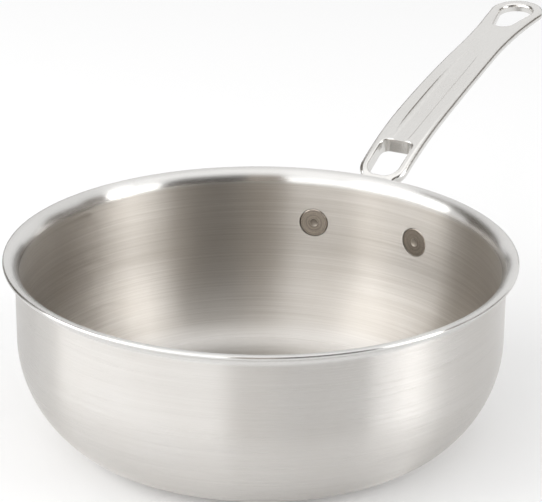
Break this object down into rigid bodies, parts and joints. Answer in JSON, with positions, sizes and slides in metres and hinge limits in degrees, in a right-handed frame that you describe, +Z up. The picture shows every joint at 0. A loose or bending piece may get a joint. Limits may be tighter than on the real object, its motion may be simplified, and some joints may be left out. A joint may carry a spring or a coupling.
{
  "type": "saucier pan",
  "caption": "Stainless saucier pan with a rounded clad bowl, a flared pouring lip and a long forked handle that ends in a hanging loop.",
  "frame": {"origin": "centre of the flat base, on the surface that the pan rests on", "axes": "+X from the bowl's axis along the handle, +Z up along the bowl's axis, +Y to the left of the handle as seen from the bowl"},
  "size_m": [0.458, 0.254, 0.1411],
  "materials": {
    "liner_steel": "brushed round the axis, polished on the lip",
    "core_aluminium": "mill finish, hidden between the steel sheets",
    "shell_steel": "brushed round the axis",
    "handle_steel": "cast and polished",
    "rivet_steel": "satin, with a faint turned ring"
  },
  "bodies": {
    "root": {"inner_steel_liner": "liner_steel", "aluminium_core": "core_aluminium", "outer_steel_shell": "shell_steel", "handle": "handle_steel", "rivet_left": "rivet_steel", "rivet_right": "rivet_steel"}
  },
  "joints": []
}
